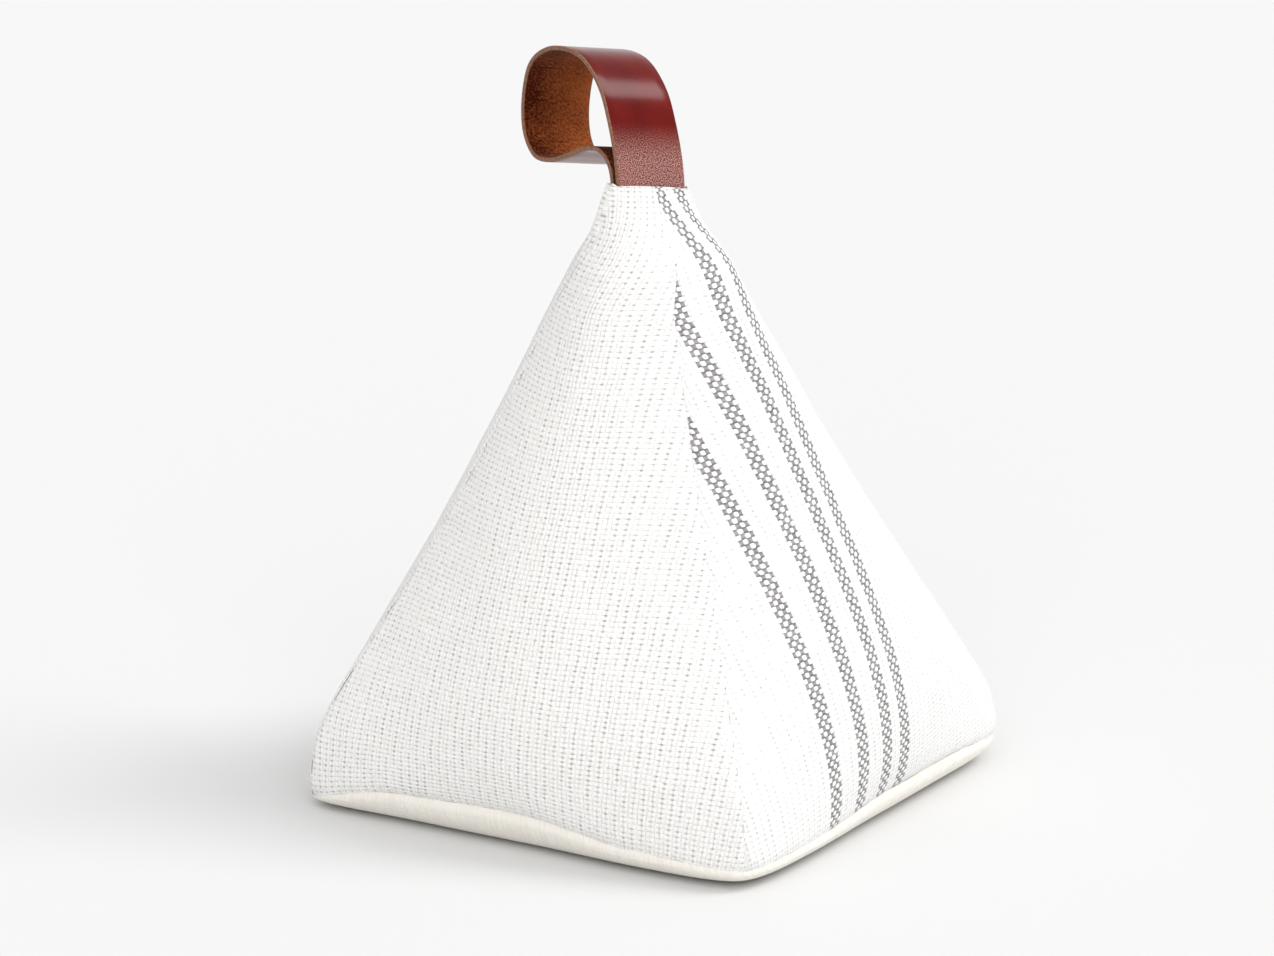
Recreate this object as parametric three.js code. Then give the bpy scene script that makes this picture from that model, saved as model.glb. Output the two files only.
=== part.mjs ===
// Weighted fabric door stop: a stuffed cloth pyramid with a leather strap loop sewn into its closed top.
// Millimetres, +Z up. The origin is on the floor under the middle of the base.
// The front panel faces -Y and the striped panel faces +X.
import * as THREE from 'three';

// Body, as sewn and filled
const BASE_SIDE = 165;          // seam to seam along the floor
const BODY_HEIGHT = 190;        // floor to the closed top edge
const CORNER_LIFT = 8;          // base seam above the floor at a corner
const MIDDLE_LIFT = 3;          // how much higher the base seam is at the middle of a side
const CORNER_PULL = 7;          // how far a stuffed base corner draws in from the square
const CORNER_SHARPNESS = 8;     // power that keeps the drawing in close to the corner
const PULL_HEIGHT = 0.12;       // share of the height where it ends
const CLOTH_THICKNESS = 1.6;    // doubled cloth wall
const SEAM_GAP = 0.3;           // between two panels along their seam
const LEAN = 3;                 // how far the top leans off the middle
const LEAN_DIRECTION = 211.6;   // degrees from +X

// How far the corner seams bow out of straight, or draw in where less than 0, base to top (Bezier values)
const BOW_LOW = 2.4;
const BOW_MIDDLE = -4;
const BOW_HIGH = -1;

// Swell of the panels over the straight line between their seams, base to top (Bezier values)
const SWELL_AT_BASE = 1.5;
const SWELL_LOW = 27;
const SWELL_MIDDLE = 18;
const SWELL_HIGH = 15;
const SWELL_AT_TOP = 1.5;
const LEFT_SWELL_LOW = 27.7;    // the left panel is slacker, and flatter above its foot
const LEFT_SWELL_MIDDLE = 16;
const LEFT_SWELL_HIGH = 9;
const ROUNDNESS_LOW = 1.1;      // shape of the swell across a panel, low down
const ROUNDNESS_HIGH = 1.5;     // and near the top

// Base cloth
const BASE_EDGE_ROLL = 12;      // how far in from the seam the base cloth reaches the floor

// Strap
const STRAP_WIDTH = 25;
const STRAP_THICKNESS = 2.2;
const STRAP_EDGE = 0.5;         // chamfer along the strap's edges
const STRAP_DIRECTION = 66;     // degrees from +X, along the strap's width
const STRAP_ROLL = 8;           // degrees that the closed top and the strap dip to the far side
const TAIL_LENGTH = 18;         // strap end inside the closed top
const TAIL_GAP = 0.4;           // between the two ends
const LOOP_REACH = 52;          // how far the loop hangs out behind the top
const LOOP_RISE = 37;           // how high it stands over the top edge
const FIT_CLEARANCE = 0.3;      // between the strap or the fill and the cloth

// Closed top
const TOP_MARGIN = 4;           // cloth past each edge of the strap
const TOP_BOXINESS = 4;         // power of the rounded oblong section
const TOP_FLARE = 0.45;         // how fast the oblong widens below the top edge
const TOP_WEDGE = 0.25;         // how fast it thickens
const PANEL_TOP_HALF = 8.5;     // half width of a panel where it meets the top edge
const CLOSING_FROM = 0.86;      // share of the height where the square starts to close flat
const TWIST_FROM = 0.79;        // share of the height where the section starts to turn towards the strap

// Woven stripes on the striped panel, measured from its middle line
const STRIPE_OFFSETS = [-34.2, -20.3, -7.2, 2.4];
const STRIPE_WIDTHS = [7, 6.6, 6.2, 5.8];
const STRIPE_THICKNESS = 0.5;
const STRIPE_TIP = 1;           // width where a stripe runs out at the seam
const STRIPE_END_ROOM = 0.01;   // least share of the height from the last level to the stripe's end

// Mesh fineness
const ACROSS = 12;
const UP = 26;
const UP_CROWDING = 1.3;
const ROLL_STEPS = 5;
const STRAP_STEPS = 56;

const strapAngle = THREE.MathUtils.degToRad(STRAP_DIRECTION);
const rollAngle = THREE.MathUtils.degToRad(STRAP_ROLL);
const leanAngle = THREE.MathUtils.degToRad(LEAN_DIRECTION);
const quarterTurn = Math.PI / 2;
const LEFT_FACE = 2;
const halfBase = BASE_SIDE / 2;
const topHalfWidth = STRAP_WIDTH / 2 + TOP_MARGIN;
const slotHalf = STRAP_THICKNESS + TAIL_GAP / 2 + FIT_CLEARANCE;
const bandRise = STRIPE_THICKNESS + FIT_CLEARANCE;
const deepestWall = CLOTH_THICKNESS + bandRise;
const topHalfThickness = (slotHalf + deepestWall) / oblong(STRAP_WIDTH / 2 / topHalfWidth);

const bowValues = [0, BOW_LOW, BOW_MIDDLE, BOW_MIDDLE, BOW_HIGH, 0];
const swellValues = [SWELL_AT_BASE, SWELL_LOW, SWELL_MIDDLE, SWELL_MIDDLE, SWELL_HIGH, SWELL_AT_TOP];
const leftSwellValues = [
  SWELL_AT_BASE, LEFT_SWELL_LOW, LEFT_SWELL_MIDDLE, LEFT_SWELL_MIDDLE, LEFT_SWELL_HIGH, SWELL_AT_TOP,
];

// Bezier value at a share of the height
function bezier(values, v) {
  let row = values;
  while (row.length > 1) {
    row = row.slice(1).map((next, i) => THREE.MathUtils.lerp(row[i], next, v));
  }
  return row[0];
}

// Half thickness of a rounded oblong of half width 1 and half thickness 1, at a place along its width
function oblong(place) {
  return Math.max(0, 1 - place ** TOP_BOXINESS) ** (1 / TOP_BOXINESS);
}

// How far the section has closed from a square to the flat oblong of the top
function closing(v) {
  return THREE.MathUtils.smoothstep(v, CLOSING_FROM, 1);
}

// The corner seams turn with the top, so that two of them meet the ends of the flat oblong
function twist(v) {
  return (strapAngle - Math.PI / 4) * THREE.MathUtils.smoothstep(v, TWIST_FROM, 1);
}

// Half width of a panel as cut
function halfSide(v) {
  return THREE.MathUtils.lerp(halfBase, PANEL_TOP_HALF, v);
}

function swell(face, v) {
  return bezier(face === LEFT_FACE ? leftSwellValues : swellValues, v);
}

function cornerPull(v) {
  return CORNER_PULL * Math.max(0, 1 - v / PULL_HEIGHT) ** 2;
}

// Point of the outer surface. face 0 to 3 is +X, +Y, -X, -Y; u runs -1 to 1 across it and v 0 to 1 up it.
function bodyPoint(face, u, v) {
  const turn = face * quarterTurn;
  const roundness = THREE.MathUtils.lerp(ROUNDNESS_LOW, ROUNDNESS_HIGH, v);
  const side = halfSide(v) + bezier(bowValues, v);
  const open = new THREE.Vector2(side + swell(face, v) * (1 - u * u) ** roundness, side * u);
  open.multiplyScalar(1 - cornerPull(v) / (side * Math.SQRT2) * Math.abs(u) ** CORNER_SHARPNESS);
  open.rotateAround(new THREE.Vector2(), turn + twist(v));
  const place = (1 + (face % 2 === 0 ? u : -u)) / 2;
  const below = BODY_HEIGHT * (1 - v);
  const shut = new THREE.Vector2(
    (face < 2 ? 1 : -1) * (topHalfWidth + TOP_FLARE * below) * place,
    (face % 3 === 0 ? -1 : 1) * (topHalfThickness + TOP_WEDGE * below) * oblong(place),
  );
  const dip = shut.x * Math.tan(rollAngle);
  shut.rotateAround(new THREE.Vector2(), strapAngle);
  const closed = closing(v);
  const flat = open.lerp(shut, closed);
  const lean = LEAN * v * v;
  const seamLift = CORNER_LIFT + MIDDLE_LIFT * (1 - u * u) * (1 - v) ** 3;
  const height = seamLift + (BODY_HEIGHT - CORNER_LIFT) * v - dip * closed;
  return new THREE.Vector3(flat.x + lean * Math.cos(leanAngle), flat.y + lean * Math.sin(leanAngle), height);
}

// Places across a panel, -1 to 1, closer together towards the seams
const places = Array.from({ length: ACROSS + 1 }, (_, step) => {
  const even = -1 + 2 * step / ACROSS;
  return (even + Math.sin(even * quarterTurn)) / 2;
});

// Shares of the height from the base seam to the top edge, closer together towards the top
const levels = Array.from({ length: UP + 1 }, (_, row) => 1 - (1 - row / UP) ** UP_CROWDING);

// Ring of points round the body at a share of its height, ACROSS steps to a panel
function bodyRing(v) {
  const ring = [];
  for (let face = 0; face < 4; face += 1) {
    for (let step = 0; step < ACROSS; step += 1) {
      ring.push(bodyPoint(face, places[step], v));
    }
  }
  return ring;
}

// The ring moved inwards by an amount, level by level, with mitred corners
function insetRing(ring, amount) {
  const count = ring.length;
  return ring.map((point, i) => {
    const before = ring[(i + count - 1) % count];
    const after = ring[(i + 1) % count];
    const first = new THREE.Vector2(point.y - before.y, before.x - point.x).normalize();
    const second = new THREE.Vector2(after.y - point.y, point.x - after.x).normalize();
    const mitre = first.clone().add(second).divideScalar(1 + first.dot(second));
    return new THREE.Vector3(point.x - mitre.x * amount, point.y - mitre.y * amount, point.z);
  });
}

// One panel's stretch of a ring, with half the seam gap taken off each end
function panelRow(ring, face) {
  const row = [];
  for (let step = 0; step <= ACROSS; step += 1) {
    row.push(ring[(face * ACROSS + step) % ring.length].clone());
  }
  trimEnd(row[0], row[1]);
  trimEnd(row[ACROSS], row[ACROSS - 1]);
  return row;
}

function trimEnd(end, next) {
  const inward = next.clone().sub(end).normalize();
  end.addScaledVector(inward, SEAM_GAP / 2);
}

function addGrid(triangles, rows, flipped) {
  for (let i = 0; i + 1 < rows.length; i += 1) {
    for (let j = 0; j + 1 < rows[i].length; j += 1) {
      const [a, b, c, d] = [rows[i][j], rows[i][j + 1], rows[i + 1][j + 1], rows[i + 1][j]];
      if (flipped) {
        triangles.push(a, d, c, a, c, b);
      } else {
        triangles.push(a, b, c, a, c, d);
      }
    }
  }
}

function geometryOf(triangles) {
  return new THREE.BufferGeometry().setFromPoints(triangles);
}

// Closed sheet between an outer and an inner grid of the same size
function sheetGeometry(outer, inner) {
  const triangles = [];
  const last = outer.length - 1;
  const end = outer[0].length - 1;
  addGrid(triangles, outer, false);
  addGrid(triangles, inner, true);
  addGrid(triangles, [inner[0], outer[0]], false);
  addGrid(triangles, [outer[last], inner[last]], false);
  addGrid(triangles, [outer.map((row) => row[0]), inner.map((row) => row[0])], false);
  addGrid(triangles, [inner.map((row) => row[end]), outer.map((row) => row[end])], false);
  return geometryOf(triangles);
}

// Closed solid through rings of equal count, closed by a fan to a middle point at each end
function loftGeometry(rings, startPoint, endPoint) {
  const triangles = [];
  addGrid(triangles, rings.map((ring) => [...ring, ring[0]]), false);
  addFan(triangles, rings[0], startPoint, true);
  addFan(triangles, rings[rings.length - 1], endPoint, false);
  return geometryOf(triangles);
}

function addFan(triangles, ring, middle, flipped) {
  ring.forEach((point, i) => {
    const next = ring[(i + 1) % ring.length];
    if (flipped) {
      triangles.push(next, point, middle);
    } else {
      triangles.push(point, next, middle);
    }
  });
}

function sidePanel(face, depth) {
  const outer = [];
  const inner = [];
  levels.forEach((v) => {
    const ring = bodyRing(v);
    outer.push(panelRow(insetRing(ring, depth), face));
    inner.push(panelRow(insetRing(ring, depth + CLOTH_THICKNESS), face));
  });
  return sheetGeometry(outer, inner);
}

// Rings of the rolled lower edge, from the floor up to the base seam. depth is how far inside the outer
// surface they lie, and drop how far below the seam they stop.
function edgeRings(depth, drop) {
  const seam = bodyRing(0);
  const rings = [];
  for (let step = 0; step <= ROLL_STEPS; step += 1) {
    const angle = quarterTurn * step / ROLL_STEPS;
    const inset = BASE_EDGE_ROLL - (BASE_EDGE_ROLL - depth) * Math.sin(angle);
    const ring = insetRing(seam, inset);
    ring.forEach((point) => {
      const top = point.z - drop;
      point.z = top - (top - depth) * Math.cos(angle);
    });
    rings.push(ring);
  }
  return rings;
}

function basePanel() {
  const outer = edgeRings(0, SEAM_GAP);
  const inner = edgeRings(CLOTH_THICKNESS, SEAM_GAP).reverse();
  const underside = new THREE.Vector3(0, 0, 0);
  const inside = new THREE.Vector3(0, 0, CLOTH_THICKNESS);
  return loftGeometry([...outer, ...inner], underside, inside);
}

// The sealed weight fills the body from the base cloth to just under the strap's ends
function weightedFill() {
  const depth = deepestWall + FIT_CLEARANCE;
  const highest = 1 - (TAIL_LENGTH + CLOTH_THICKNESS + topHalfWidth * Math.tan(rollAngle)) / BODY_HEIGHT;
  const rings = edgeRings(depth, 0);
  const filled = levels.filter((v) => v > 0 && v < highest);
  [...filled, highest].forEach((v) => rings.push(insetRing(bodyRing(v), depth)));
  const last = rings[rings.length - 1];
  const middle = last.reduce((sum, point) => sum.add(point), new THREE.Vector3()).divideScalar(last.length);
  return loftGeometry(rings, new THREE.Vector3(0, 0, depth), middle);
}

// Point of one panel's stretch of a ring
function ringPoint(ring, face, u) {
  const after = Math.max(1, places.findIndex((place) => place >= u));
  const from = ring[face * ACROSS + after - 1];
  const to = ring[(face * ACROSS + after) % ring.length];
  return from.clone().lerp(to, (u - places[after - 1]) / (places[after] - places[after - 1]));
}

// A stripe keeps its distance from the panel's middle line and ends where it runs into the seam
function stripeBand(offset, width) {
  const outer = [];
  const inner = [];
  const meeting = Math.max(0, Math.abs(offset) - width / 2) + STRIPE_TIP + bandRise;
  const highest = Math.min(1, (halfBase - meeting) / (halfBase - PANEL_TOP_HALF));
  const below = levels.filter((v) => v < highest - STRIPE_END_ROOM);
  [...below, highest].forEach((v) => addStripeRow(outer, inner, v, offset, width));
  return sheetGeometry(outer, inner);
}

function addStripeRow(outer, inner, v, offset, width) {
  const limit = halfSide(v) - bandRise;
  const low = Math.max(offset - width / 2, -limit);
  const high = Math.min(offset + width / 2, limit);
  const columns = [low, (low + high) / 2, high].map((edge) => edge / halfSide(v));
  const ring = bodyRing(v);
  const under = insetRing(ring, STRIPE_THICKNESS);
  outer.push(columns.map((u) => ringPoint(ring, 0, u)));
  inner.push(columns.map((u) => ringPoint(under, 0, u)));
}

// Middle line of the strap in its own plane: x out behind the top, y up from the top edge
function strapLine() {
  const tail = (STRAP_THICKNESS + TAIL_GAP) / 2;
  const outline = [
    [0.004, 0.24], [0.06, 0.49], [0.146, 0.73], [0.30, 0.92], [0.48, 0.985], [0.71, 0.95], [0.90, 0.78],
    [0.975, 0.46], [0.955, 0.18], [0.86, 0.03], [0.70, 0.02], [0.51, 0.10], [0.30, 0.205], [0.16, 0.215],
    [0.07, 0.14],
  ];
  const loop = outline.map(([x, y]) => new THREE.Vector3(x * LOOP_REACH, y * LOOP_RISE, 0));
  return new THREE.CatmullRomCurve3([
    new THREE.Vector3(-tail, -TAIL_LENGTH, 0),
    new THREE.Vector3(-tail, -TAIL_LENGTH / 2, 0),
    new THREE.Vector3(-tail, 0, 0),
    ...loop,
    new THREE.Vector3(tail, 0, 0),
    new THREE.Vector3(tail, -TAIL_LENGTH / 2, 0),
    new THREE.Vector3(tail, -TAIL_LENGTH, 0),
  ], false, 'centripetal');
}

// Section of the strap: [along the width, through the thickness]
function strapSection() {
  const wide = STRAP_WIDTH / 2;
  const thick = STRAP_THICKNESS / 2;
  const edge = STRAP_EDGE;
  return [
    [-wide, thick - edge], [-wide + edge, thick], [wide - edge, thick], [wide, thick - edge],
    [wide, -thick + edge], [wide - edge, -thick], [-wide + edge, -thick], [-wide, -thick + edge],
  ];
}

function leatherLoop() {
  const along = new THREE.Vector3(
    Math.cos(strapAngle) * Math.cos(rollAngle),
    Math.sin(strapAngle) * Math.cos(rollAngle),
    -Math.sin(rollAngle),
  );
  const behind = new THREE.Vector3(-Math.sin(strapAngle), Math.cos(strapAngle), 0);
  const up = new THREE.Vector3(0, 0, 1);
  const root = new THREE.Vector3(LEAN * Math.cos(leanAngle), LEAN * Math.sin(leanAngle), BODY_HEIGHT);
  const line = strapLine();
  const rings = [];
  const ends = [];
  for (let step = 0; step <= STRAP_STEPS; step += 1) {
    const share = step / STRAP_STEPS;
    const flat = line.getPointAt(share);
    const tangent = line.getTangentAt(share);
    const centre = root.clone().addScaledVector(behind, flat.x).addScaledVector(up, flat.y);
    const outward = behind.clone().multiplyScalar(-tangent.y).addScaledVector(up, tangent.x);
    rings.push(strapSection().map(([w, t]) => (
      centre.clone().addScaledVector(along, w).addScaledVector(outward, t)
    )));
    ends.push(centre);
  }
  return loftGeometry(rings, ends[0], ends[STRAP_STEPS]);
}

const cloth = new THREE.MeshStandardMaterial({ name: 'woven_cotton', color: 0xf1efea, roughness: 0.95 });
const baseCloth = new THREE.MeshStandardMaterial({ name: 'base_cotton', color: 0xece6da, roughness: 0.95 });
const stripeCloth = new THREE.MeshStandardMaterial({ name: 'grey_stripe', color: 0x8f8e90, roughness: 0.95 });
const leather = new THREE.MeshStandardMaterial({ name: 'strap_leather', color: 0x6e1b12, roughness: 0.35 });
const fillCloth = new THREE.MeshStandardMaterial({ name: 'inner_bag', color: 0xd9d2c2, roughness: 0.9 });

const doorStop = new THREE.Group();

function add(name, geometry, material) {
  const mesh = new THREE.Mesh(geometry, material);
  mesh.name = name;
  doorStop.add(mesh);
}

add('side_panel_striped', sidePanel(0, bandRise), cloth);
add('side_panel_back', sidePanel(1, 0), cloth);
add('side_panel_left', sidePanel(2, 0), cloth);
add('side_panel_front', sidePanel(3, 0), cloth);
add('base_panel', basePanel(), baseCloth);
STRIPE_OFFSETS.forEach((offset, i) => {
  add(`stripe_band_${i + 1}`, stripeBand(offset, STRIPE_WIDTHS[i]), stripeCloth);
});
add('leather_loop', leatherLoop(), leather);
add('weighted_fill', weightedFill(), fillCloth);

export default doorStop;
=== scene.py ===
"""A weighted fabric door stop: a sand filled cloth pyramid with a leather strap loop in its closed top.

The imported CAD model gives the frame. Lengths in this file are millimetres unless a name says otherwise, and
they become metres where a mesh is made. +Z is up, the plain front panel faces -Y and the striped panel +X.
"""
import logging
import math
from collections.abc import Callable
from dataclasses import dataclass, field
from enum import Enum
from functools import partial

import bmesh
import bpy
import numpy as np
from bpy.types import ID, Material, Node, NodeSocket, NodeTree, Object
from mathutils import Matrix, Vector, noise


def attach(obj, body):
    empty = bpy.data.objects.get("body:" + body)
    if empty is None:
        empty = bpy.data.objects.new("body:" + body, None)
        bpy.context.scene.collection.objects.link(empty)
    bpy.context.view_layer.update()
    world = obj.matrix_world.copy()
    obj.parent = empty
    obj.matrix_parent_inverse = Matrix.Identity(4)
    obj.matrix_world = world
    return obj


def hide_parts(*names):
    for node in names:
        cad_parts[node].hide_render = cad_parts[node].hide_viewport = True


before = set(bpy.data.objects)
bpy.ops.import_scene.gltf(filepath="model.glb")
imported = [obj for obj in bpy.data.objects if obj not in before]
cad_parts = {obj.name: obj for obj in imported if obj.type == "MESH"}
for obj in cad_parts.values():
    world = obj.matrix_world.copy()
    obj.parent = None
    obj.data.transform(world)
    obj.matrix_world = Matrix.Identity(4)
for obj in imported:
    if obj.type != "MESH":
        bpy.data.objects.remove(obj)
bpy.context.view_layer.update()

MM = 0.001
log = logging.getLogger("door_stop")


class Face(Enum):
    """The four side panels, numbered by quarter turns from +X."""

    STRIPED = 0
    BACK = 1
    LEFT = 2
    FRONT = 3


class Side(Enum):
    """The surfaces of the strap, in the order of its material slots."""

    FINISHED = 0
    SUEDE = 1
    EDGE = 2


# Small helpers


def linear(hex_colour: str) -> tuple[float, float, float, float]:
    """Turns an sRGB colour into the linear one that a shader takes.

    Args:
        hex_colour: Six hex digits.

    Returns:
        Linear red, green, blue and an alpha of 1.
    """
    shares = [int(hex_colour[i : i + 2], 16) / 255 for i in (0, 2, 4)]
    straight = [s / 12.92 if s <= 0.04045 else ((s + 0.055) / 1.055) ** 2.4 for s in shares]
    return (*straight, 1.0)


def add_node(tree: NodeTree, kind: str, inputs: dict | None = None, **settings) -> Node:
    """Adds a node with its settings and links.

    Args:
        tree: The node tree of a material or a world.
        kind: The node's type name, without the ShaderNode that they all begin with.
        inputs: Values by socket name or number. A node stands for its first output.
        **settings: The node's own properties.

    Returns:
        The new node.
    """
    node = tree.nodes.new("ShaderNode" + kind)
    for name, value in settings.items():
        setattr(node, name, value)
    for key, value in (inputs or {}).items():
        if isinstance(value, Node):
            value = value.outputs[0]
        if isinstance(value, NodeSocket):
            tree.links.new(value, node.inputs[key])
        else:
            node.inputs[key].default_value = value
    return node


def add_object(name: str, data: ID | None) -> Object:
    """Puts a new object into the scene.

    Args:
        name: Its name.
        data: Its mesh, lamp or camera.

    Returns:
        The object.
    """
    item = bpy.data.objects.new(name, data)
    bpy.context.scene.collection.objects.link(item)
    return item


def quads(index: np.ndarray) -> np.ndarray:
    """Lists the cells of a grid of point numbers.

    Args:
        index: Point numbers, rows by columns.

    Returns:
        The four corners of each cell.
    """
    corners = [index[:-1, :-1], index[:-1, 1:], index[1:, 1:], index[1:, :-1]]
    return np.stack(corners, axis=-1).reshape(-1, 4)


def new_material(name: str) -> Material:
    """Makes a material with an empty node tree.

    Args:
        name: What it is made of and how.

    Returns:
        The material.
    """
    material = bpy.data.materials.new(name)
    material.use_nodes = True
    material.node_tree.nodes.clear()
    return material


def smoothstep(value: np.ndarray, start: float, end: float) -> np.ndarray:
    """Rises smoothly from 0 at start to 1 at end.

    Args:
        value: Places to read.
        start: Where the rise starts.
        end: Where it ends.

    Returns:
        A share of 0 to 1 for each place.
    """
    share = np.clip((value - start) / (end - start), 0, 1)
    return share * share * (3 - 2 * share)


def bezier(values: tuple[float, ...], share: np.ndarray) -> np.ndarray:
    """Gives the Bezier value at each share.

    Args:
        values: Control values, evenly spread.
        share: Shares from 0 to 1.

    Returns:
        One value for each share.
    """
    row = [np.full_like(share, value) for value in values]
    while len(row) > 1:
        row = [low * (1 - share) + high * share for low, high in zip(row, row[1:])]
    return row[0]


def sample(values: np.ndarray, spots: np.ndarray) -> np.ndarray:
    """Reads a table between its rows, along smooth curves.

    Args:
        values: The table.
        spots: Row numbers with fractions.

    Returns:
        One row for each spot.
    """
    ends = [values[:1] * 2 - values[1:2], values, values[-1:] * 2 - values[-2:-1]]
    rows = np.concatenate(ends)
    low = np.minimum(spots.astype(int), len(values) - 2)
    t = (spots - low).reshape(-1, *[1] * (values.ndim - 1))
    a, b, c, d = (rows[low + step] for step in range(4))
    return b + 0.5 * t * (c - a + t * (2 * a - 5 * b + 4 * c - d + t * (3 * (b - c) + d - a)))


def wander(points: np.ndarray, size: float, seed: float) -> np.ndarray:
    """Gives smooth unevenness at each point.

    Args:
        points: Points, with the last axis of length 3.
        size: Length of one swelling.
        seed: Moves the pattern, so that two pieces differ.

    Returns:
        Values of about -1 to 1, one for each point.
    """
    flat = points.reshape(-1, 3) / size + seed
    values = [noise.noise(Vector(point)) for point in flat]
    return np.array(values).reshape(points.shape[:-1])


def grid_mesh(name: str, points: np.ndarray, flat: np.ndarray, loop: bool = False) -> Object:
    """Makes a smooth mesh from a grid of points.

    Args:
        name: Name of the object.
        points: Rows by columns by 3, in millimetres. Going along a row and then up a column faces out.
        flat: Rows by columns by 2, each point's place on the flat cloth or strap, in millimetres.
        loop: Whether each row closes on itself.

    Returns:
        The object, riding on the root body.
    """
    index = np.arange(points.shape[0] * points.shape[1]).reshape(points.shape[:2])
    if loop:
        index = np.concatenate([index, index[:, :1]], axis=1)
        flat = np.concatenate([flat, flat[:, -1:] * 2 - flat[:, -2:-1]], axis=1)
    faces = quads(index)
    places = flat.reshape(-1, 2)[quads(np.arange(flat.size // 2).reshape(flat.shape[:2]))]
    mesh = bpy.data.meshes.new(name)
    mesh.from_pydata((points.reshape(-1, 3) * MM).tolist(), [], faces.tolist())
    mesh.uv_layers.new(name="flat_cut").data.foreach_set("uv", (places * MM).ravel())
    mesh.polygons.foreach_set("use_smooth", [True] * len(faces))
    mesh.update()
    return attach(add_object(name, mesh), "root")


# Finishes


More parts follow.
